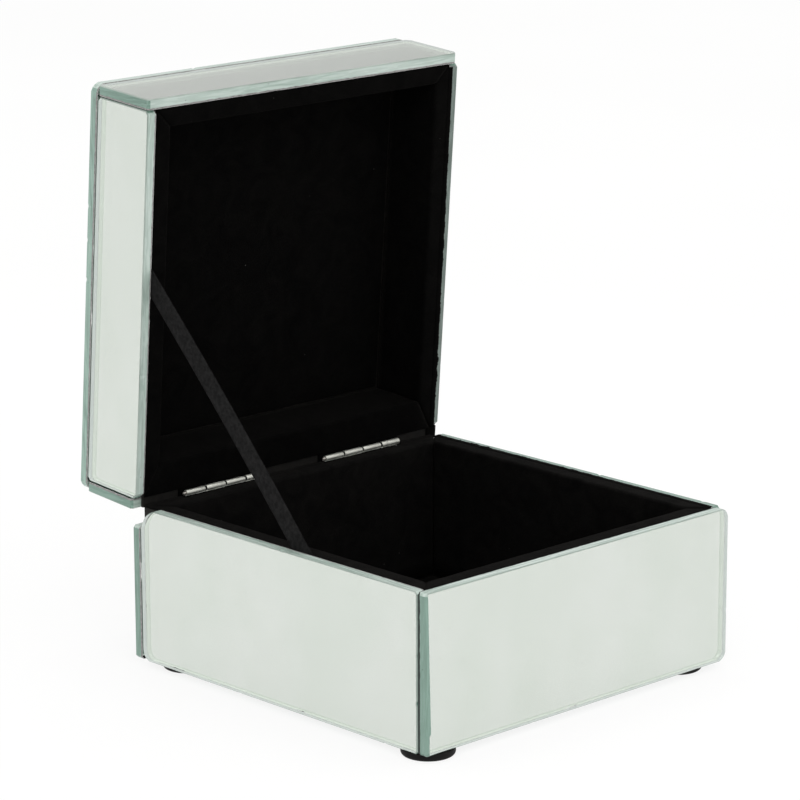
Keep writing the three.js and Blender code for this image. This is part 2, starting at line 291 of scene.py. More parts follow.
def paint_glow_and_reflection(f, outside, glow):
    """Gives a surface one colour from outside and, seen from inside the glass, a painted glow: an emission
    standing in for light carried through the sheet. Its painted reflection in the silvering takes the panel's own
    tone."""
    inside = f.tree.nodes.new("ShaderNodeNewGeometry").outputs["Backfacing"]
    reflections = f.tree.nodes.new("ShaderNodeLightPath").outputs["Glossy Depth"]
    # Painted reflection: past the first glossy bounce the painted glow takes the panel's tone.
    glow = f.mix(f.math("MINIMUM", reflections, 1.0), glow, PAINTED_PANEL_REFLECTION)
    f.put(Base_Color=f.mix(inside, outside, (0.12, 0.13, 0.125)))
    # Painted glow: the side seen from inside the glass emits a set colour, though it is no lamp.
    f.put(Emission_Color=f.mix(inside, (0.0, 0.0, 0.0), glow), Emission_Strength=1.0)
    f.material.cycles.emission_sampling = "NONE"


def glass_edge(name, stretch, shades, glow):
    """The ground edge of the glass: streaks of teal and grey along the strip, with nicks. Seen through
    the face it has a painted glow, an emission standing in for light that has entered the sheet elsewhere."""
    f = Finish(name)
    dark, middle, light = shades
    drift = f.noise(0.014, 2, stretch=[0.3 if s < 1 else 1 for s in stretch], distortion=0.4)
    streak = f.noise(0.0013, 3, stretch=stretch, distortion=0.2)
    colour = f.ramp(streak, (0.25, dark), (0.5, middle), (0.78, light))
    colour = f.mix(f.ramp(drift, (0.35, 0.0), (0.7, 0.6)), colour, light)
    nick = f.ramp(f.cells(0.0045), (0.03, 1.0), (0.085, 0.0))
    colour = f.mix(f.math("MULTIPLY", nick, 0.6), colour, [0.4 * c for c in dark])
    low, high = [0.93 * g for g in glow], [1.07 * g for g in glow]
    paint_glow_and_reflection(f, colour, f.ramp(streak, (0.3, low), (0.7, high)))
    f.put(Roughness=f.ramp(streak, (0.3, 0.16), (0.8, 0.42)), IOR=1.5)
    f.put(Coat_Weight=0.25, Coat_Roughness=0.1)
    return f.bump(streak, 0.0001, 0.4).material


def backing_edge(name, dark, middle, light):
    """The mirror's backing paint and sealer, seen from the side at the rear of each edge, with a painted glow
    where it is seen through the glass.
    """
    f = Finish(name)
    patch = f.noise(0.0012, 4, distortion=0.6)
    colour = f.ramp(patch, (0.35, dark), (0.6, middle), (0.8, light))
    # Painted glow: the backing emits this colour where it is seen from inside the glass.
    paint_glow_and_reflection(f, colour, f.ramp(patch, (0.3, (0.4, 0.43, 0.41)), (0.7, (0.52, 0.56, 0.535))))
    f.put(Roughness=0.6)
    return f.bump(patch, 0.00008, 0.6).material


def silver():
    """Silvering behind the glass, a little cloudy and speckled where it has aged."""
    f = Finish("mirror_silvering")
    cloud = f.noise(0.04, 4, distortion=0.4)
    fleck = f.ramp(f.cells(0.0075), (0.02, 0.82), (0.06, 1.0))
    tone = f.ramp(cloud, (0.3, (0.885, 0.9, 0.875)), (0.7, (0.93, 0.935, 0.925)))
    f.put(Base_Color=f.mix(1.0, tone, fleck, "MULTIPLY"), Metallic=1.0)
    f.put(Roughness=f.ramp(cloud, (0.3, 0.015), (0.7, 0.05)))
    return f.material


def black_wood():
    """Black-stained fibreboard: mottled, slightly fibrous and matt."""
    f = Finish("black_wood_board")
    mottle = f.noise(0.004, 6)
    fibre = f.noise(0.0012, 4, stretch=(1, 6, 6))
    f.put(Base_Color=f.ramp(mottle, (0.3, (0.004, 0.0035, 0.003)), (0.75, (0.012, 0.0102, 0.0085))))
    f.put(Roughness=f.ramp(fibre, (0.3, 0.62), (0.8, 0.85)), Specular_IOR_Level=0.25)
    return f.bump(fibre, 0.0002, 0.6).material


def velvet(name, tone):
    """Short black pile: soft mottling where the nap lies over, pale lint and a dim sheen."""
    f = Finish(name)
    nap = f.noise(0.011, 4, distortion=1.2)
    pile = f.noise(0.00045, 3, roughness=0.7)
    low = (tone * 0.55, tone * 0.53, tone * 0.52)
    high = (tone * 1.25, tone * 1.18, tone * 1.1)
    base = f.ramp(nap, (0.3, low), (0.72, high))
    base = f.mix(f.ramp(pile, (0.35, 0.55), (0.7, 0.0)), base, (tone * 0.2,) * 3)
    lint = f.ramp(f.cells(0.0115, stretch=(1, 1.7, 1.2)), (0.016, 1.0), (0.026, 0.0))
    base = f.mix(f.math("MULTIPLY", lint, 0.6), base, (0.09, 0.088, 0.083))
    f.put(Base_Color=base, Roughness=1.0, Specular_IOR_Level=0.02)
    f.put(Sheen_Weight=0.012, Sheen_Roughness=0.35, Sheen_Tint=(1.0, 0.93, 0.86, 1))
    return f.bump(pile, 0.00025, 0.9).material


def ribbon_cloth():
    """Charcoal grosgrain: the ribs are modelled, the yarn and its mottled sheen are here."""
    f = Finish("ribbon_grosgrain")
    mottle = f.noise(0.0017, 5, distortion=0.6)
    yarn = f.noise(0.0003, 2)
    colour = f.ramp(mottle, (0.36, (0.0025, 0.0025, 0.0025)), (0.68, (0.0155, 0.015, 0.015)))
    colour = f.mix(f.ramp(yarn, (0.35, 0.5), (0.65, 0.0)), colour, (0.003, 0.003, 0.003))
    f.put(Base_Color=colour, Roughness=0.85, Specular_IOR_Level=0.12)
    f.put(Sheen_Weight=0.02, Sheen_Roughness=0.4)
    return f.bump(yarn, 0.0001, 0.6).material


def nickel(name, tone):
    """Satin nickel, brushed round the barrel, with duller grime in patches."""
    f = Finish(name)
    brushed = f.noise(0.0006, 5, stretch=(0.25, 3, 3))
    grime = f.noise(0.0035, 4, distortion=0.6)
    clean = f.ramp(brushed, (0.3, tuple(0.86 * t for t in tone)), (0.7, tone))
    dull = tuple(0.42 * t for t in tone)
    f.put(Base_Color=f.mix(f.ramp(grime, (0.52, 0.0), (0.8, 0.7)), clean, dull), Metallic=1.0)
    f.put(Roughness=f.ramp(grime, (0.4, 0.46), (0.8, 0.6)))
    return f.bump(brushed, 0.00006, 0.5).material


def painted_gap_shade():
    """Painted shade in the gaps between the knuckles: dark, speckled and matt."""
    f = Finish("hinge_joint_grime")
    speck = f.noise(0.0005, 4)
    f.put(Base_Color=f.ramp(speck, (0.35, (0.004, 0.0038, 0.0035)), (0.8, (0.02, 0.019, 0.017))))
    f.put(Roughness=f.ramp(speck, (0.3, 0.6), (0.8, 0.9)), Specular_IOR_Level=0.2)
    return f.bump(speck, 0.00008, 0.6).material


def rubber():
    """Moulded black rubber: matt, faintly dusty and pitted."""
    f = Finish("black_rubber_moulded")
    dust = f.noise(0.003, 5)
    pit = f.noise(0.0005, 3)
    f.put(Base_Color=f.ramp(dust, (0.35, (0.0022, 0.002, 0.002)), (0.8, (0.007, 0.0065, 0.006))))
    f.put(Roughness=f.ramp(dust, (0.3, 0.55), (0.8, 0.75)), Specular_IOR_Level=0.16)
    return f.bump(pit, 0.0001, 0.5).material


# Painted glow of the edges seen through the glass, and the painted reflection the silvering shows of them.
PAINTED_EDGE_GLOW = (0.47, 0.515, 0.495)
PAINTED_ARRIS_GLOW = (0.36, 0.41, 0.39)
PAINTED_PANEL_REFLECTION = (0.69, 0.735, 0.685)
# Dark, middle and light streaks of the ground edges, seen from outside. The sorts are one ground
# edge in painted lit and shaded tones: rim edges and the lid top's pale ends are painted lighter
# where they catch the light, end and dull edges are painted darker where they lie in shade.
EDGE_PAINTED_LIGHT_TONES = {
    "end": ((0.08, 0.14, 0.11), (0.15, 0.255, 0.205), (0.235, 0.36, 0.3)),
    "pale": ((0.14, 0.21, 0.175), (0.25, 0.38, 0.32), (0.37, 0.51, 0.44)),
    "dull": ((0.06, 0.085, 0.07), (0.115, 0.155, 0.135), (0.2, 0.25, 0.225)),
    "rim": ((0.26, 0.35, 0.3), (0.42, 0.52, 0.465), (0.58, 0.66, 0.615)),
    "arris": ((0.17, 0.21, 0.185), (0.27, 0.33, 0.29), (0.4, 0.46, 0.42)),
}
# Noise is stretched along the strip, whichever way it runs.
ALONG = {"x": (0.08, 1, 1), "y": (1, 0.08, 1), "z": (1, 1, 0.08)}
GLASS_FACE = glass_face()
GLASS_EDGES = {}
for sort, shades in EDGE_PAINTED_LIGHT_TONES.items():
    glow = PAINTED_ARRIS_GLOW if sort == "arris" else PAINTED_EDGE_GLOW
    GLASS_EDGES[sort] = [
        glass_edge(f"mirror_glass_{sort}_{k}", ALONG[k], shades, glow) for k in "xyz"
    ]
BACKING_PALE = backing_edge(
    "mirror_backing_edge", (0.16, 0.15, 0.15), (0.28, 0.27, 0.265), (0.42, 0.42, 0.41)
)
# Darker copy for the front mirror's ground corner: the backing paint there, with painted shade of the gap between
# the two panels.
BACKING_WITH_GAP_SHADE = backing_edge(
    "mirror_backing_edge_dark", (0.008, 0.014, 0.011), (0.022, 0.036, 0.029), (0.07, 0.1, 0.085)
)
SILVER = silver()
WOOD = black_wood()
# The base's velvet is painted more than twice as light as the lid's: one velvet in lit and shaded copies, the
# base's up-facing lining painted lighter, the lid's lining painted darker as shade.
VELVETS = {
    "base": velvet("black_velvet_base", 0.0078),
    "lid": velvet("black_velvet_lid", 0.0036),
    "pad": velvet("black_velvet_pads", 0.004),
}
RIBBON = ribbon_cloth()
NICKEL = nickel("satin_nickel_knuckles", (0.76, 0.765, 0.7))
NICKEL_PIN = nickel("satin_nickel_pins", (0.5, 0.47, 0.43))
RUBBER = rubber()
PAINTED_GAP_SHADE = painted_gap_shade()

# ---- CAD nodes that stay ----

BODY_OF = {}
for body_name, members in frame["record"]["behaviour"]["bodies"].items():
    for member in members:
        BODY_OF[member] = body_name

THICKNESS_AXIS = {"front": 1, "back": 1, "left": 0, "right": 0, "top": 2}


def dress_wood(node):
    """Gives a CAD board or wall its wood, with edges a little worn."""
    obj = frame["nodes"][node]
    obj.data.materials.clear()
    obj.data.materials.append(WOOD)
    weld = obj.modifiers.new("weld", "WELD")
    weld.merge_threshold = 1e-6
    bevel = obj.modifiers.new("worn_edges", "BEVEL")
    bevel.width = 0.25 * MM
    bevel.segments = 2


for wooden in [n for n in frame["nodes"] if n.endswith("_wall") or n.endswith("_board")]:
    dress_wood(wooden)

# ---- Cut glass and its silvering ----

MIRRORS = sorted(n for n in frame["nodes"] if n.endswith("_mirror"))
FRONT_ARRIS = 0.4 * MM
BACK_ARRIS = 0.15 * MM
EDGE_STEP = 1.2 * MM  # between points along a glass edge
BACKING_LAYER = 2  # ring of an edge where the backing paint ends
ARRIS_LAYER = 3  # ring where the front arris begins
BACKING_REACH = 0.55 * MM
CORNER_BACKING_REACH = 1.25 * MM  # at the front corner, where the darker backing also paints the shade of the gap between the panels
CHIPS = 7  # small chips round each panel
# The front mirror's left end is ground back by these widths, less in its lowest stretch.
GROUND_END = "base_front_mirror"
GROUND_LOW = 2.9 * MM
GROUND_HIGH = 1.3 * MM
GROUND_FROM = 8 * MM
SILVER_STEP = 0.5 * MM  # between points along the silver's border
SILVER_LIFT = 0.02 * MM
SILVER_THICK = 0.05 * MM
# Corner cuts in millimetres: low left, low right, high right, high left.
CLIPS = {
    "base_front": (1.0, 3.2, 3.2, 1.0),
    "base_back": (1.0, 1.0, 1.0, 1.0),
    "base_left": (1.0, 3.2, 8.0, 1.0),
    "base_right": (1.0, 3.2, 1.0, 1.0),
    "lid_top": (3.2, 3.2, 3.2, 3.2),
    "lid_front": (1.0, 2.0, 2.0, 1.0),
    "lid_back": (1.0, 1.0, 1.0, 1.0),
    "lid_left": (1.3, 2.0, 1.3, 1.3),
    "lid_right": (1.3, 2.0, 1.3, 1.3),
}


def cut_outline(width, height, clips):
    """Corners, anticlockwise, of a glass sheet whose corners are cut, the largest cuts bulging."""
    places = [((0, 0), (0, 1), (1, 0)), ((width, 0), (-1, 0), (0, 1))]
    places += [((width, height), (0, -1), (-1, 0)), ((0, height), (1, 0), (0, -1))]
    outline = []
    for (corner, before, after), clip in zip(places, clips):
        corner, before, after = Vector(corner), Vector(before), Vector(after)
        start, end = corner + before * clip * MM, corner + after * clip * MM
        steps = 6 if clip > 5 else (3 if clip > 2.5 else 1)
        for k in range(steps + 1):
            t = k / steps
            bulge = 0.2 * clip * MM * math.sin(math.pi * t)
            outline.append(start.lerp(end, t) - (before + after).normalized() * bulge)
    return outline


def inset_outline(corners, inset):
    """A convex outline with every side moved inwards by inset."""
    count = len(corners)
    moved = []
    for i in range(count):
        here = corners[i]
        before = (here - corners[i - 1]).normalized()
        after = (corners[(i + 1) % count] - here).normalized()
        n1, n2 = Vector((-before.y, before.x)), Vector((-after.y, after.x))
        lean = (n1 + n2).normalized()
        moved.append(here + lean * inset / max(0.2, lean.dot(n1)))
    return moved


def divided(corners, counts):
    """The outline's sides cut into equal steps, as many as counts gives for each."""
    points = []
    for i, count in enumerate(counts):
        start, end = corners[i], corners[(i + 1) % len(corners)]
        points += [start.lerp(end, k / count) for k in range(count)]
    return points


class Panel:
    """Where one glass panel lies: its outline in its own plane and the way it faces."""

    def __init__(self, node):
        self.body = BODY_OF[node]
        low, high = node_box(node, self.body)
        side = node.split("_")[1]
        self.axis = THICKNESS_AXIS[side]
        self.u, self.v = [(1, 2), (0, 2), (0, 1)][self.axis]
        self.low = low
        self.width, self.height = high[self.u] - low[self.u], high[self.v] - low[self.v]
        self.outward = 1 if side in ("right", "back", "top") else -1
        self.back = low[self.axis] if self.outward > 0 else high[self.axis]
        self.thick = high[self.axis] - low[self.axis]
        self.outline = cut_outline(self.width, self.height, CLIPS[node.replace("_mirror", "")])
        self.middle = Vector((self.width / 2, self.height / 2))

    def point(self, flat, depth):
        """A point of the panel's plane, depth in front of its back face."""
        p = Vector((0, 0, 0))
        p[self.u], p[self.v] = self.low[self.u] + flat.x, self.low[self.v] + flat.y
        p[self.axis] = self.back + self.outward * depth
        return p


# Edge tones of a panel's ends and of its rims where they are not the usual ones, as painted light:
# the lid top's ends painted lighter, the right rims of lid and base painted darker as shade.
PAINTED_EDGE_LIGHT_SORTS = {"lid_top": ("pale", "rim"), "lid_right": ("end", "dull"), "base_right": ("end", "end")}


def ground_back(panel, p):
    """How far a point of the front face moves in where the left end has been ground back."""
    width = GROUND_LOW + (GROUND_HIGH - GROUND_LOW) * p.y / panel.height
    if p.y < GROUND_FROM:
        width = 0.7 * GROUND_LOW
    width += 0.12 * MM * ripple(p.y, 1.3 * MM, 3.0)
    return max(0.0, width + 0.05 * p.x - p.x) if p.x < width else 0.0


def add_fan(bm, ring, centre):
    """Closes a ragged ring with triangles that meet at its middle."""
    hub = bm.verts.new(centre)
    return [bm.faces.new((ring[i], ring[(i + 1) % len(ring)], hub)) for i in range(len(ring))]


def edge_slot(panel, start, end, kind):
    """Material slot of an edge face: what sort of edge it is and which way the strip runs."""
    run = panel.point(end, 0) - panel.point(start, 0)
    if panel.body == "lid":
        run = TO_REST.to_3x3() @ run
    longest = max(range(3), key=lambda k: abs(run[k]))
    return 1 + 3 * kind + longest


def glass_ring(node, panel, layer, inset, depth, counts, chips, seed):
    """One closed line of points round a panel's edge, slightly uneven and chipped."""
    ring = []
    for i, p in enumerate(divided(inset_outline(panel.outline, inset), counts)):
        wander = 0.02 * MM * abs(noise.noise(Vector((p.x, p.y, seed)) / (5 * MM)))
        if layer >= ARRIS_LAYER:
            wander += chips.get(i, 0) * (1.0 if layer == ARRIS_LAYER else 0.5)
        inward = (panel.middle - p).normalized() * wander
        if node == GROUND_END and layer > ARRIS_LAYER:
            inward.x += ground_back(panel, p)
        ragged = 0.0
        if layer == BACKING_LAYER:
            drift = Vector((0, 0, seed))
            ragged = 0.3 * MM * noise.noise(Vector((p.x, p.y, 0)) / (2.4 * MM) + drift)
            if node == GROUND_END and p.x < 0.5 * MM:
                ragged += CORNER_BACKING_REACH - BACKING_REACH
        ring.append(panel.point(p + inward, depth + ragged))
    return ring


def add_glass(node, seed):
    """A float-glass panel: fine arrises, cut corners and a few small chips along its edges."""
    panel = Panel(node)
    rnd = random.Random(seed)
    sides = zip(panel.outline, panel.outline[1:] + panel.outline[:1])
    counts = [max(1, round((b - a).length / EDGE_STEP)) for a, b in sides]
    total = sum(counts)
    chips = {rnd.randrange(total): rnd.uniform(0.12, 0.45) * MM for _ in range(CHIPS)}
    layers = [(BACK_ARRIS, 0), (0, BACK_ARRIS), (0, BACKING_REACH)]
    layers += [(0, panel.thick - FRONT_ARRIS), (FRONT_ARRIS, panel.thick)]
    rings = []
    for layer, (inset, depth) in enumerate(layers):
        rings.append(glass_ring(node, panel, layer, inset, depth, counts, chips, seed))
    bm = bmesh.new()
    loops = grid_tube(bm, rings, closed_ends=False)
    end_sort, rim_sort = PAINTED_EDGE_LIGHT_SORTS.get(node.replace("_mirror", ""), ("end", "rim"))
    materials = [GLASS_FACE] + GLASS_EDGES[end_sort] + GLASS_EDGES[rim_sort] + GLASS_EDGES["arris"]
    # The front mirror's ground corner takes the darker backing, partly painted shade of the gap at that corner.
    materials.append(BACKING_WITH_GAP_SHADE if node == GROUND_END else BACKING_PALE)
    flat = divided(panel.outline, counts)
    for layer, (near, far) in enumerate(zip(loops, loops[1:])):
        for i in range(total):
            j = (i + 1) % total
            middle = (flat[i] + flat[j]) / 2
            at_rim = min(middle.y, panel.height - middle.y) < min(middle.x, panel.width - middle.x)
            face = bm.faces.get((near[i], near[j], far[j], far[i]))
            if layer < BACKING_LAYER:
                face.material_index = len(materials) - 1
            else:
                ground = node == GROUND_END and middle.x < MM
                kind = 2 if layer == ARRIS_LAYER and not ground else (1 if at_rim else 0)
                face.material_index = edge_slot(panel, flat[i], flat[j], kind)
    add_fan(bm, loops[0], panel.point(panel.middle, 0))
    add_fan(bm, loops[-1], panel.point(panel.middle, panel.thick))
    name = node.replace("_mirror", "_glass")
    finish_piece(name, bm, materials, panel.body, [node], smooth=False)


def add_silver(node, seed):
    """A thin silver sheet close behind a panel, its border eaten away in a few places."""
    panel = Panel(node)
    corners = inset_outline(panel.outline, BACK_ARRIS)
    sides = zip(corners, corners[1:] + corners[:1])
    flat = divided(corners, [max(1, round((b - a).length / SILVER_STEP)) for a, b in sides])
    bm = bmesh.new()
    front, back = [], []
    for p in flat:
        fine = noise.noise(Vector((p.x, p.y, 0)) / (1.7 * MM) + Vector((seed, 0, 0)))
        broad = noise.noise(Vector((p.x, p.y, 0)) / (14 * MM) + Vector((0, seed, 0)))
        eaten = max(0.0, broad - 0.3)
        bite = 0.05 * MM * max(0.0, fine) + 2.2 * MM * eaten * (0.5 + max(0.0, fine))
        if node == GROUND_END and p.x < MM:
            bite += (0.5 + 0.25 * fine) * MM
        q = p + (panel.middle - p).normalized() * bite
        front.append(bm.verts.new(panel.point(q, -SILVER_LIFT)))
        back.append(bm.verts.new(panel.point(q, -SILVER_LIFT - SILVER_THICK)))
    for i in range(len(flat)):
        j = (i + 1) % len(flat)
        bm.faces.new((front[i], back[i], back[j], front[j]))
    add_fan(bm, front, panel.point(panel.middle, -SILVER_LIFT))
    add_fan(bm, back, panel.point(panel.middle, -SILVER_LIFT - SILVER_THICK))
    name = node.replace("_mirror", "_silvering")
    finish_piece(name, bm, [SILVER], panel.body, smooth=False)


for index, mirror in enumerate(MIRRORS):
    add_glass(mirror, index + 3)
    add_silver(mirror, index + 3)

# ---- Velvet linings ----

FACE_ORDER = ("left", "right", "front", "back")
# The axis each side faces along, and which way along it is outwards.
OUTWARD = {"left": (0, -1), "right": (0, 1), "front": (1, -1), "back": (1, 1)}
VELVET = 0.8 * MM
GLUE = 0.3 * MM
PAD_STEPS = 56


def lining_profile(depth, lip):
    """Closed section of a lining: u runs from the open face into the wall, v up to the rim."""
    inner_round, outer_round = 1.15 * MM, 0.75 * MM
    points = []
    for i in range(9):
        t = i / 8
        swell = 0.12 * MM * math.sin(math.pi * t)
        points.append((-swell, -depth + (depth - inner_round) * t))
    points += arc(inner_round, -inner_round, inner_round, 180, 90, 6)[1:]
    for i in range(1, 8):
        t = i / 8
        crown = 0.05 * MM * math.sin(math.pi * t)
        points.append((inner_round + (lip - outer_round - inner_round) * t, crown))
    points += arc(lip - outer_round, -outer_round, outer_round, 90, 10, 5)
    points.append((lip - 0.02 * MM, -VELVET))
    points.append((VELVET + 0.3 * MM, -VELVET))
    points.append((VELVET, -VELVET - 0.3 * MM))
    points.append((VELVET, -depth))
    return points


def add_lining(name, body, side, faces, depth, rim, up, replaced, seed):
    """One velvet strip with mitred ends. faces gives the open rectangle and the wood's outside."""
    axis, sign = OUTWARD[side]
    inner, outer = faces["inner"], faces["outer"]
    plane = inner[FACE_ORDER.index(side)]
    lip = abs(outer[FACE_ORDER.index(side)] - plane)
    cross = (0, 1) if axis == 1 else (2, 3)
    ends = [(inner[k], (outer[k] - inner[k]) / lip) for k in cross]
    section = lining_profile(depth, lip)
    length = ends[1][0] - ends[0][0]
    steps = max(8, round(length / (1.6 * MM)))
    gap = 0.09 * MM  # between two mitred ends, halved
    bm = bmesh.new()
    rings = []
    for i in range(steps + 1):
        t = i / steps
        ring = []
        for u, v in section:
            start = ends[0][0] + ends[0][1] * u + gap
            end = ends[1][0] + ends[1][1] * u - gap
            along = start + (end - start) * t
            near_end = min(t, 1 - t) * length
            tuck = 0.0
            if v > -VELVET * 0.9 or u < VELVET / 2:
                tuck = 0.35 * MM * math.exp(-near_end / (0.5 * MM))
            point = Vector((0, 0, 0))
            wave = noise.noise(Vector((along, v, u)) / (9 * MM) + Vector((seed, 0, 0)))
            fuzz = noise.noise(Vector((along, v, u)) / (1.9 * MM) + Vector((0, seed, 0)))
            shift = 0.1 * MM * wave + 0.05 * MM * fuzz - tuck
            surface = v > -VELVET * 0.6 and u < lip - 0.4 * MM
            rise = shift if surface else 0
            face = shift if (u < VELVET / 2 and v < -1.2 * MM) else 0
            point[1 - axis] = along
            point[axis] = plane + sign * (u - face)
            point.z = rim + up * (v + rise)
            ring.append(point)
        rings.append(ring)
    grid_tube(bm, rings)
    triangulate_caps(bm)
    return finish_piece(name, bm, [VELVETS[body]], body, replaced)


def add_pad(name, body, low, high, exposed_up, replaced, seed):
    """A thin velvet-covered pad: crowned, its border rolled under, its nap slightly uneven."""
    inset = 0.15 * MM
    x0, x1, y0, y1 = low.x + inset, high.x - inset, low.y + inset, high.y - inset
    top = high.z if exposed_up else low.z
    under = low.z if exposed_up else high.z
    sign = 1 if exposed_up else -1
    bm = bmesh.new()
    grid = []
    for i in range(PAD_STEPS + 1):
        row = []
        for j in range(PAD_STEPS + 1):
            s = 0.5 - 0.5 * math.cos(math.pi * i / PAD_STEPS)
            t = 0.5 - 0.5 * math.cos(math.pi * j / PAD_STEPS)
            x, y = x0 + (x1 - x0) * s, y0 + (y1 - y0) * t
            edge = min(x - x0, x1 - x, y - y0, y1 - y)
            roll = 0.55 * MM * math.exp(-edge / (0.8 * MM))
            wave = 0.12 * MM * noise.noise(Vector((x, y, seed)) / (16 * MM))
            row.append(bm.verts.new((x, y, top + sign * (wave - roll))))
        grid.append(row)
    for i in range(PAD_STEPS):
        for j in range(PAD_STEPS):
            bm.faces.new((grid[i][j], grid[i + 1][j], grid[i + 1][j + 1], grid[i][j + 1]))
    up, down = range(PAD_STEPS), range(PAD_STEPS, 0, -1)
    border = [grid[i][0] for i in up] + [grid[PAD_STEPS][j] for j in up]
    border += [grid[i][PAD_STEPS] for i in down] + [grid[0][j] for j in down]
    bottom = [bm.verts.new((v.co.x, v.co.y, under)) for v in border]
    for i in range(len(border)):
        j = (i + 1) % len(border)
        bm.faces.new((border[i], border[j], bottom[j], bottom[i]))
    bmesh.ops.triangulate(bm, faces=[bm.faces.new(bottom)])
    return finish_piece(name, bm, [VELVETS["pad"]], body, replaced)


def open_rectangle(body):
    """The faces of a body's linings: x low, x high, y low, y high, inside and at the wood."""
    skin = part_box("base_lining_floor")[0].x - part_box("base_left_wall")[1].x
    left = node_box(f"{body}_left_wall", body)
    right = node_box(f"{body}_right_wall", body)
    front = node_box(f"{body}_front_wall", body)
    back_face = left[1].y + (GLUE if body == "lid" else 0)
    inner = (left[1].x + skin, right[0].x - skin, front[1].y + skin, back_face - skin)
    return {"inner": inner, "outer": (left[0].x, right[1].x, front[0].y, BACK_WOOD)}


LIP_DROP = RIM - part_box("base_lining_front")[1].z
for part, up in (("base", 1), ("lid", -1)):
    faces = open_rectangle(part)
    rim = RIM - LIP_DROP if up > 0 else LID_RIM + LIP_DROP
    pad = node_box("base_lining_floor" if up > 0 else "lid_lining_top", part)
    exposed = pad[1].z if up > 0 else pad[0].z
    depth = abs(rim - exposed) - 0.3 * MM
    for k, side in enumerate(("front", "back", "left", "right")):
        node = f"{part}_lining_{side}"
        add_lining(f"{part}_velvet_{side}", part, side, faces, depth, rim, up, [node], 5 + 7 * k + up)

low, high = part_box("base_lining_floor")
add_pad("base_velvet_floor", "base", low, high, True, ["base_lining_floor"], 2.0)
low, high = shut_box("lid_lining_top")
add_pad("lid_velvet_top", "lid", low, high, False, ["lid_lining_top"], 6.0)


def add_rail_velvet():
    """The lining carried on over the base's rail, frayed at its outer edge, clear of the hinges."""
    start = BACK_WOOD - 0.6 * MM
    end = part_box("base_lining_back")[1].y
    top = RIM - LIP_DROP
    radius = 0.36 * MM
    stops = [-WOOD_OUTER + 0.1 * MM]
    for side in SIDES:
        stops += [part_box(f"hinge_{side}_pin")[0].x - GLUE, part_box(f"hinge_{side}_pin")[1].x + GLUE]
    stops.append(WOOD_OUTER - 0.1 * MM)
    bm = bmesh.new()
    for low_x, high_x in zip(stops[::2], stops[1::2]):
        steps = round((high_x - low_x) / (0.35 * MM))
        rings = []
        for i in range(steps + 1):
            x = low_x + (high_x - low_x) * i / steps
            fray = 0.3 * MM * abs(ripple(x, 0.9 * MM, 4.0))
            fray += 0.35 * MM * abs(ripple(x, 5 * MM, 8.0))
            lift = 0.05 * MM * ripple(x, 2 * MM, 1.0) - 0.05 * MM
            section = [(start, top - VELVET), (start, top - 0.3 * MM), (start + 0.5 * MM, top + lift)]
            section += [((start + end) / 2, top + lift)]
            for y, z in arc(end - fray - radius, top - radius, radius, 90, -60, 5):
                section.append((y, z + lift))
            section.append((end - fray - 0.5 * MM, top - VELVET))
            rings.append([Vector((x, y, z)) for y, z in section])
        grid_tube(bm, rings)
    triangulate_caps(bm)
    finish_piece("base_velvet_rail", bm, [VELVETS["base"]], "base", ())


def add_hinge_velvet():
    """Velvet tucked over the end of the lid's back mirror, behind the barrels."""
    near = BACK_WOOD - 0.4 * MM
    far = shut_box("lid_back_mirror")[1].y + 0.3 * MM
    end = shut_box("lid_back_mirror")[0].z - 0.1 * MM
    bm = bmesh.new()
    spans = [(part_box(f"hinge_{side}_pin")[0].x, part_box(f"hinge_{side}_pin")[1].x) for side in SIDES]
    spans.append((WOOD_OUTER - 0.5 * MM, GLASS_OUTER - 1.2 * MM))
    for low_x, high_x in spans:
        low_x, high_x = low_x - 0.8 * MM, high_x + 0.5 * MM
        steps = round((high_x - low_x) / (0.5 * MM))
        rings = []
        for i in range(steps + 1):
            x = low_x + (high_x - low_x) * i / steps
            wave = 0.12 * MM * ripple(x, 1.5 * MM, 2.0)
            edge = far - 0.25 * MM * abs(ripple(x, MM, 6.0))
            lip = LID_RIM + 0.68 * MM + 0.5 * wave
            section = [(near, end), (near, lip + 0.2 * MM), (near + 0.3 * MM, lip)]
            section += [(edge - 0.5 * MM, lip), (edge, lip + 0.4 * MM), (edge, end)]
            rings.append([Vector((x, y, z)) for y, z in section])
        grid_tube(bm, rings)
    triangulate_caps(bm)
    finish_piece("lid_velvet_hinge_tuck", bm, [VELVETS["lid"]], "lid", ())


def add_fray(body, rim, up, cover):
    """Ragged velvet that creeps over the rim edge of a right mirror, most towards the back."""
    low, high = node_box(f"{body}_right_mirror", body)
    near = WOOD_OUTER - 0.5 * MM
    steps = round((high.y - low.y) / (0.3 * MM))
    bm = bmesh.new()
    rings = []
    for i in range(steps + 1):
        y = low.y + 1 * MM + (high.y - low.y - 2 * MM) * i / steps
        back = i / steps
        broad = abs(ripple(y, 7 * MM, 3.0))
        fine = abs(ripple(y, 0.8 * MM, 5.0))
        reach = (1.0 * back * (0.4 + broad) + (0.4 + 1.5 * back) * fine * (0.4 + broad)) * MM
        top = (0.06 + 0.22 * back * (broad + fine)) * MM
        edge = GLASS_INNER + cover + reach
        section = [(near, -0.4 * MM), (near, -0.12 * MM), (near + 0.5 * MM, top)]
        section += [(edge - 0.25 * MM, top), (edge, 0.03 * MM), (edge - 0.1 * MM, 0.01 * MM)]
        section += [(GLASS_INNER - 0.05 * MM, 0.005 * MM), (GLASS_INNER - 0.1 * MM, -0.4 * MM)]
        rings.append([Vector((x, y, rim + up * rise)) for x, rise in section])
    grid_tube(bm, rings)
    triangulate_caps(bm)
    finish_piece(f"{body}_velvet_fray", bm, [VELVETS[body]], body, ())


add_rail_velvet()
add_hinge_velvet()
add_fray("base", RIM, 1, 0.9 * MM)
add_fray("lid", LID_RIM, -1, 1.1 * MM)

# ---- Hinges ----

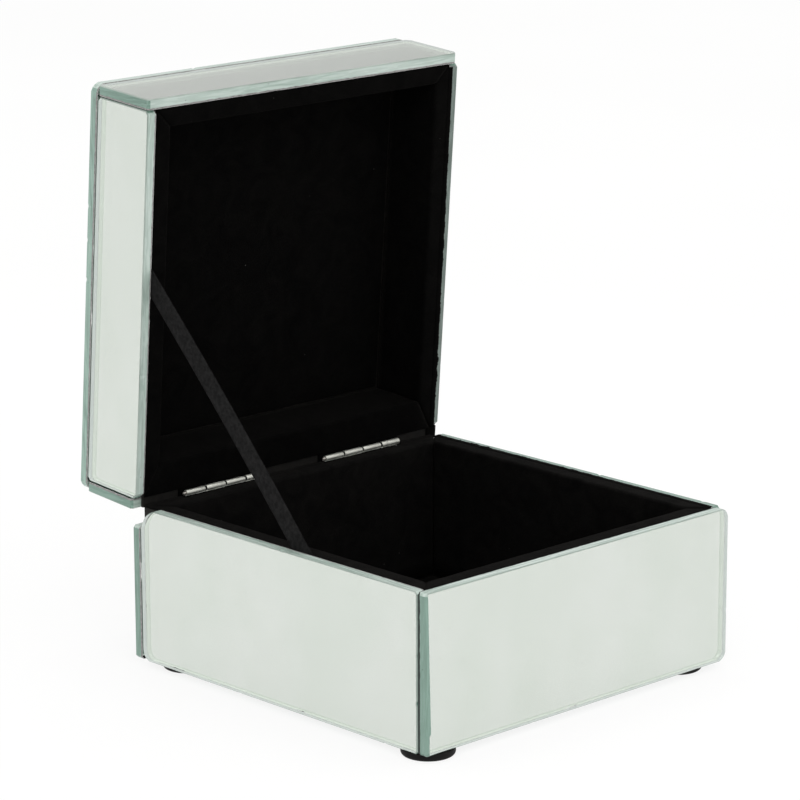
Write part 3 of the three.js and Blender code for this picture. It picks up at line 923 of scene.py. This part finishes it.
KNUCKLES = 4
KNUCKLE_GAP = 0.85 * MM
OWN_KNUCKLES = {"base": (1, 3), "lid": (0, 2)}
BASE_SWELL = 1.08  # the base's knuckles are rolled a little fuller
BORE_PLAY = 0.05 * MM
LEAF = 0.8 * MM
WEB_BEHIND = 0.5 * MM  # web and leaf reach this far in under the barrel
WEB_STOP = 1.0 * MM  # webs end this far short of the glass rims
PIN_LINE = Vector((0, AXIS.y, AXIS.z))


def knuckle_profile(start, end, radius, bore):
    """Section of one rolled knuckle, its rims eased."""
    ease = 0.16 * MM
    return [
        (start + ease, bore), (start, bore + ease), (start, radius - ease),
        (start + ease * 0.3, radius - ease * 0.3), (start + ease, radius),
        (end - ease, radius), (end - ease * 0.3, radius - ease * 0.3),
        (end, radius - ease), (end, bore + ease), (end - ease, bore),
    ]


def add_ring_x(bm, profile, centre, segments=40):
    """Turns a closed section about X, for a knuckle with a bore."""
    rings = []
    for i in range(segments):
        a = 2 * math.pi * i / segments
        c, s = math.cos(a), math.sin(a)
        rings.append([bm.verts.new(centre + Vector((x, r * c, r * s))) for x, r in profile])
    count = len(profile)
    for i in range(segments):
        near, far = rings[i], rings[(i + 1) % segments]
        for k in range(count):
            m = (k + 1) % count
            bm.faces.new((near[k], near[m], far[m], far[k]))


def add_plate(bm, low, high, bevel):
    """A rectangular plate with eased edges."""
    made = bmesh.ops.create_cube(bm, size=1.0)
    size, middle = high - low, (high + low) / 2
    for v in made["verts"]:
        v.co = Vector((v.co.x * size.x, v.co.y * size.y, v.co.z * size.z)) + middle
    edges = list(dict.fromkeys(e for v in made["verts"] for e in v.link_edges))
    bmesh.ops.bevel(bm, geom=edges, offset=bevel, segments=2, affect="EDGES", profile=0.5)


def add_knuckles(bm, part, low, high, radius, bore):
    """A leaf's rolled knuckles, each with the web that joins it to the leaf."""
    pitch = (high.x - low.x + KNUCKLE_GAP) / KNUCKLES
    swell = radius * (BASE_SWELL if part == "base" else 1.0)
    stop = RIM - WEB_STOP if part == "base" else LID_RIM + WEB_STOP
    bottom, top = sorted((low.z if part == "base" else high.z, stop))
    for k in OWN_KNUCKLES[part]:
        start = low.x + k * pitch
        end = start + pitch - KNUCKLE_GAP
        add_ring_x(bm, knuckle_profile(start, end, swell, bore), PIN_LINE)
        web_low = Vector((start, AXIS.y - radius * 0.98, bottom))
        web_high = Vector((end, AXIS.y - radius + WEB_BEHIND, top))
        add_plate(bm, web_low, web_high, 0.08 * MM)


def add_leaf(bm, part, low, high, radius):
    """The flat leaf that lies on the wood, under the velvet."""
    plate_low, plate_high = low.copy(), high.copy()
    plate_high.y = AXIS.y - radius + WEB_BEHIND
    if part == "base":
        plate_high.z = low.z + LEAF
    else:
        plate_low.z = high.z - LEAF
    add_plate(bm, plate_low, plate_high, 0.12 * MM)


def add_gap_shade_rings(bm, low, high, radius, bore):
    """Dark rings filling the gaps between the knuckles: painted shade where the gaps fall dark."""
    pitch = (high.x - low.x + KNUCKLE_GAP) / KNUCKLES
    for k in range(1, KNUCKLES):
        start = low.x + k * pitch - KNUCKLE_GAP
        near, far = start + 0.06 * MM, start + KNUCKLE_GAP * 0.94
        section = [(near, bore), (near, radius * 0.8), (start + KNUCKLE_GAP * 0.5, radius * 0.86)]
        section += [(far, radius * 0.8), (far, bore)]
        count = len(bm.faces)
        add_ring_x(bm, section, PIN_LINE)
        bm.faces.ensure_lookup_table()
        for face in bm.faces[count:]:
            # These faces take the painted gap shade.
            face.material_index = 1


def add_pin(side):
    """The hinge's pin, domed at both ends."""
    node = f"hinge_{side}_pin"
    low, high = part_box(node)
    radius = (high.z - low.z) / 2
    dome = 0.25 * MM
    profile = [(low.x, radius * 0.35), (low.x + dome * 0.3, radius * 0.8), (low.x + dome, radius)]
    profile += [(high.x - dome, radius), (high.x - dome * 0.3, radius * 0.8), (high.x, radius * 0.35)]
    bm = bmesh.new()
    lathe(bm, profile, PIN_LINE, 32, "x")
    finish_piece(f"hinge_{side}_turned_pin", bm, [NICKEL_PIN], "base", [node])


def add_hinge(side):
    """Both leaves of one hinge with their knuckles, and the pin."""
    pin_low, pin_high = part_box(f"hinge_{side}_pin")
    bore = (pin_high.z - pin_low.z) / 2 + BORE_PLAY
    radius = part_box(f"hinge_{side}_base_leaf")[1].y - AXIS.y
    for part in ("base", "lid"):
        node = f"hinge_{side}_{part}_leaf"
        low, high = node_box(node, part)
        bm = bmesh.new()
        add_knuckles(bm, part, low, high, radius, bore)
        add_leaf(bm, part, low, high, radius)
        if part == "base":
            add_gap_shade_rings(bm, low, high, radius, bore)
        name = f"hinge_{side}_{part}_knuckles"
        finish_piece(name, bm, [NICKEL, PAINTED_GAP_SHADE], part, [node])
    add_pin(side)


for side in SIDES:
    add_hinge(side)

# ---- Feet ----


def add_foot(node):
    """A round bumper foot, dished underneath and rounded more below than above."""
    low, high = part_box(node)
    centre = (low + high) / 2
    centre.z = low.z
    radius, height = (high.x - low.x) / 2, high.z - low.z
    under, over = 1.5 * MM, 0.35 * MM
    profile = [(radius * 0.2, 0.12 * MM), (radius * 0.62, 0.12 * MM), (radius * 0.7, 0.0)]
    profile += [(radius - under, 0.0)]
    profile += arc(radius - under, under, under, -90, 0, 8)[1:]
    profile += arc(radius - over, height - over, over, 0, 90, 4)
    profile += [(radius * 0.3, height)]
    bm = bmesh.new()
    lathe(bm, [(z, r) for r, z in profile], centre, 72, "z")
    finish_piece(node.replace("foot_", "rubber_foot_"), bm, [RUBBER], "base", [node])


for node in [n for n in frame["nodes"] if n.startswith("foot_")]:
    add_foot(node)

# ---- Ribbon stay ----

RIBBON_WIDTH = 8.3 * MM


def ribbon_run():
    """Ends of the ribbon's middle line, from the box of its slanted strip."""
    low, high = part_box("stay_ribbon")
    size = high - low
    angle = math.atan2(size.z, size.y)
    for _ in range(40):
        across = size.y - RIBBON_WIDTH * math.sin(angle)
        rise = size.z - RIBBON_WIDTH * math.cos(angle)
        angle = math.atan2(rise, across)
    length = math.hypot(across, rise)
    middle = (low + high) / 2
    along = Vector((0, math.cos(angle), math.sin(angle)))
    return middle - along * length / 2, middle + along * length / 2


def crossing(start, end, plane_point, plane_normal):
    """Where the line from start to end meets a plane."""
    t = (plane_point - start).dot(plane_normal) / (end - start).dot(plane_normal)
    return start.lerp(end, t)


def add_ribbon():
    """The ribbed strip, bellied a little between the rims, straight where it is glued."""
    start, end = ribbon_run()
    low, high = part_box("stay_ribbon")
    along = (end - start).normalized()
    upward = Vector((0, -along.z, along.y))
    if upward.z < 0:
        upward.negate()
    lower = crossing(start, end, Vector((0, 0, RIM)), Vector((0, 0, 1)))
    lid_normal = TO_REST.to_3x3() @ Vector((0, 0, 1))
    upper = crossing(start, end, TO_REST @ Vector((0, 0, LID_RIM)), lid_normal)
    length = (end - start).length
    first = (lower - start).length
    last = (upper - start).length
    rows = round(length / (0.24 * MM))
    half_thick = (high.x - low.x) / 2
    middle_x = (low.x + high.x) / 2
    # Places across the width, closest together at the selvedges.
    columns = [-1, -0.965, -0.93, -0.9, -0.86, -0.6, -0.3, 0, 0.3, 0.6, 0.86, 0.9, 0.93, 0.965, 1]
    bm = bmesh.new()
    rings = []
    for i in range(rows + 1):
        s = length * i / rows
        t = min(1.0, max(0.0, (s - first) / (last - first)))
        belly = 1.0 * MM * math.sin(math.pi * t) ** 0.9 if 0 < t < 1 else 0.0
        sway = 0.1 * MM * ripple(s, 11 * MM, 3.1)
        rib = 0.018 * MM * (1 if i % 2 else -1)
        front, back = [], []
        for c in columns:
            edge = abs(c)
            selvedge = 0.06 * MM if 0.91 < edge < 0.99 else (-0.03 * MM if 0.85 < edge < 0.91 else 0)
            drift = sway * (1 - edge) * (1 if 0 < t < 1 else 0)
            thick = half_thick * 0.72 + selvedge + rib
            if edge > 0.98:
                thick = half_thick * 0.45
            wander = 0.07 * MM * noise.noise(Vector((s / (5 * MM), c * 2, 9.0))) * edge
            centre = start + along * s + upward * (belly + c * RIBBON_WIDTH / 2 + wander)
            front.append(Vector((middle_x + drift - thick, centre.y, centre.z)))
            back.append(Vector((middle_x + drift + thick, centre.y, centre.z)))
        rings.append(front + list(reversed(back)))
    grid_tube(bm, rings)
    triangulate_caps(bm)
    ribbon = finish_piece("woven_ribbon_stay", bm, [RIBBON], None, ["stay_ribbon"])
    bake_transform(ribbon)


add_ribbon()

# ---- Floor, light and camera ----

FLOOR_HALF = 12.0


def add_floor():
    """White paper that fades into the surroundings."""
    mesh = bpy.data.meshes.new("studio_floor")
    r = FLOOR_HALF
    mesh.from_pydata([(-r, -r, 0), (r, -r, 0), (r, r, 0), (-r, r, 0)], [], [(0, 1, 2, 3)])
    floor = bpy.data.objects.new("studio_floor", mesh)
    bpy.context.scene.collection.objects.link(floor)
    f = Finish("studio_floor_paper")
    grain = f.noise(0.4, 2)
    f.put(Base_Color=f.ramp(grain, (0.3, 0.13), (0.7, 0.14)), Roughness=0.9, Specular_IOR_Level=0.0)
    f.put(Emission_Color=(1.0, 1.0, 0.998, 1), Emission_Strength=0.86)
    mesh.materials.append(f.material)
    floor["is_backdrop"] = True


def add_world():
    """White surroundings, slightly greyer in a band above the horizon."""
    world = bpy.data.worlds.new("studio")
    bpy.context.scene.world = world
    world.use_nodes = True
    tree = world.node_tree
    background = tree.nodes["Background"]
    place = tree.nodes.new("ShaderNodeTexCoord")
    split = tree.nodes.new("ShaderNodeSeparateXYZ")
    ramp = tree.nodes.new("ShaderNodeValToRGB")
    tree.links.new(place.outputs["Generated"], split.inputs["Vector"])
    tree.links.new(split.outputs["Z"], ramp.inputs["Fac"])
    stops = [(0.0, 0.98), (0.12, 0.9), (0.26, 0.64), (0.5, 0.82), (1.0, 1.0)]
    elements = ramp.color_ramp.elements
    while len(elements) < len(stops):
        elements.new(0.5)
    for element, (position, tone) in zip(elements, stops):
        element.position = position
        element.color = (tone, tone, tone * 0.995, 1)
    tree.links.new(ramp.outputs["Color"], background.inputs["Color"])
    background.inputs["Strength"].default_value = 1.0


def add_softbox(name, location, size, power, target):
    light = bpy.data.lights.new(name, "AREA")
    light.shape = "RECTANGLE"
    light.size, light.size_y = size
    light.energy = power
    obj = bpy.data.objects.new(name, light)
    obj.location = location
    direction = Vector(target) - Vector(location)
    obj.rotation_mode = "QUATERNION"
    obj.rotation_quaternion = direction.to_track_quat("-Z", "Y")
    bpy.context.scene.collection.objects.link(obj)


CAMERA_PLACE = (-0.95099, -0.97966, 0.45019)  # from under the middle of the base
CAMERA_AZIMUTH = math.radians(-43.6745)
CAMERA_ELEVATION = math.radians(14.1803)
CAMERA_ROLL = math.radians(-0.1583)
CAMERA_LENS = 168.225


def add_camera():
    a, e, r = CAMERA_AZIMUTH, CAMERA_ELEVATION, CAMERA_ROLL
    back = Vector((math.sin(a) * math.cos(e), -math.cos(a) * math.cos(e), math.sin(e)))
    right = (-back).cross(Vector((0, 0, 1))).normalized()
    up = back.cross(right)
    x = right * math.cos(r) + up * math.sin(r)
    y = -right * math.sin(r) + up * math.cos(r)
    data = bpy.data.cameras.new("camera")
    data.sensor_width = 36
    data.lens = CAMERA_LENS
    data.clip_start, data.clip_end = 0.05, 60
    camera = bpy.data.objects.new("camera", data)
    matrix = Matrix((x, y, back)).transposed().to_4x4()
    matrix.translation = Vector(CAMERA_PLACE) + Vector((0, MIDDLE_Y, 0))
    camera.matrix_world = matrix
    bpy.context.scene.collection.objects.link(camera)
    bpy.context.scene.camera = camera


add_floor()
add_world()
add_softbox("softbox_front", (-0.9, -1.1, 1.3), (1.0, 1.0), 6, (0, 0, 0.08))
add_softbox("softbox_top", (0.2, 0.0, 1.6), (1.2, 1.2), 5, (0, 0, 0.05))
add_camera()

scene = bpy.context.scene
scene.view_settings.view_transform = "Standard"
scene.view_settings.look = "None"
scene.cycles.max_bounces = 24
scene.cycles.transmission_bounces = 20
scene.cycles.glossy_bounces = 16
scene.cycles.diffuse_bounces = 4
scene.cycles.use_denoising = True

low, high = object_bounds()
